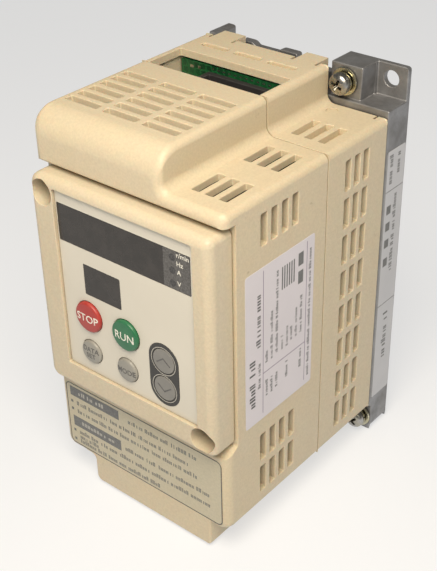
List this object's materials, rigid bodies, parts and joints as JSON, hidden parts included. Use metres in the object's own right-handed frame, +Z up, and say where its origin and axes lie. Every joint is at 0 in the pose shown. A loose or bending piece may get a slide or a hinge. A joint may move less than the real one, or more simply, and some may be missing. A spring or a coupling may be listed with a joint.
{
  "type": "variable frequency drive",
  "caption": "Compact panel-mounted motor drive: beige vented housing on a cast heat-sink base, with a front keypad of sprung keys and a digit window.",
  "frame": {"origin": "centre of the bottom of the bounding box", "axes": "+Z up, the keypad faces -Y, and the mounting face of the heat sink is +Y"},
  "size_m": [0.0702, 0.0932, 0.1316],
  "materials": {
    "housing": "fine matte texture",
    "overlay": "matte polyester film",
    "smoked_window": "smoked, glossy",
    "dark_pad": "matte",
    "cast_aluminium": "as-cast, dull",
    "label": "satin film",
    "printed_panel": "printed on the housing",
    "steel": "zinc plated",
    "circuit_board": "solder mask",
    "black_plastic": "matte",
    "grey_plastic": "matte",
    "thermal_pad": "soft",
    "capacitor_sleeve": "shrink sleeve",
    "transformer": "varnished tape",
    "relay_case": "moulded",
    "fuse_glass": "clear",
    "lamp": "translucent",
    "red_key": "satin",
    "green_key": "satin",
    "grey_key": "satin",
    "arrow_key": "satin"
  },
  "bodies": {
    "drive_body": {"heatsink_base": "cast_aluminium", "rear_case": "housing", "front_case": "housing", "keypad_bezel": "housing", "keypad_overlay": "overlay", "display_lens": "smoked_window", "indicator_window": "smoked_window", "arrow_key_surround": "dark_pad", "bezel_screw_1": "steel", "bezel_screw_2": "steel", "nameplate_label": "label", "caution_label": "label", "warning_label": "printed_panel", "earth_screw_upper": "steel", "earth_spring_washer_upper": "steel", "earth_flat_washer_upper": "steel", "earth_screw_lower": "steel", "earth_spring_washer_lower": "steel", "earth_flat_washer_lower": "steel", "display_board": "circuit_board", "digit_display": "black_plastic", "unit_lamp_1": "lamp", "unit_lamp_2": "lamp", "unit_lamp_3": "lamp", "stop_switch": "black_plastic", "run_switch": "black_plastic", "data_set_switch": "black_plastic", "mode_switch": "black_plastic", "up_switch": "black_plastic", "down_switch": "black_plastic", "control_board": "circuit_board", "keypad_connector": "black_plastic", "board_link_header": "black_plastic", "signal_terminal_block": "grey_plastic", "power_board": "circuit_board", "top_connector": "black_plastic", "power_terminal_block": "grey_plastic", "bus_capacitor_1": "capacitor_sleeve", "bus_capacitor_2": "capacitor_sleeve", "transformer": "transformer", "relay": "relay_case", "fuse": "fuse_glass", "power_module": "black_plastic", "thermal_pad": "thermal_pad", "module_screw_1": "steel", "module_screw_2": "steel", "board_screw_1": "steel", "board_screw_2": "steel", "board_screw_3": "steel", "board_screw_4": "steel"},
    "stop_key": {"stop_key": "red_key"},
    "run_key": {"run_key": "green_key"},
    "data_set_key": {"data_set_key": "grey_key"},
    "mode_key": {"mode_key": "grey_key"},
    "up_key": {"up_key": "arrow_key"},
    "down_key": {"down_key": "arrow_key"}
  },
  "joints": [
    {"name": "stop_key_press", "type": "slide", "parent": "drive_body", "child": "stop_key", "axis": [0, 1, 0], "range_m": [0, 0.0005], "stiffness_N_per_m": 800},
    {"name": "run_key_press", "type": "slide", "parent": "drive_body", "child": "run_key", "axis": [0, 1, 0], "range_m": [0, 0.0005], "stiffness_N_per_m": 800},
    {"name": "data_set_key_press", "type": "slide", "parent": "drive_body", "child": "data_set_key", "axis": [0, 1, 0], "range_m": [0, 0.0005], "stiffness_N_per_m": 800},
    {"name": "mode_key_press", "type": "slide", "parent": "drive_body", "child": "mode_key", "axis": [0, 1, 0], "range_m": [0, 0.0005], "stiffness_N_per_m": 800},
    {"name": "up_key_press", "type": "slide", "parent": "drive_body", "child": "up_key", "axis": [0, 1, 0], "range_m": [0, 0.0005], "stiffness_N_per_m": 800},
    {"name": "down_key_press", "type": "slide", "parent": "drive_body", "child": "down_key", "axis": [0, 1, 0], "range_m": [0, 0.0005], "stiffness_N_per_m": 800}
  ]
}
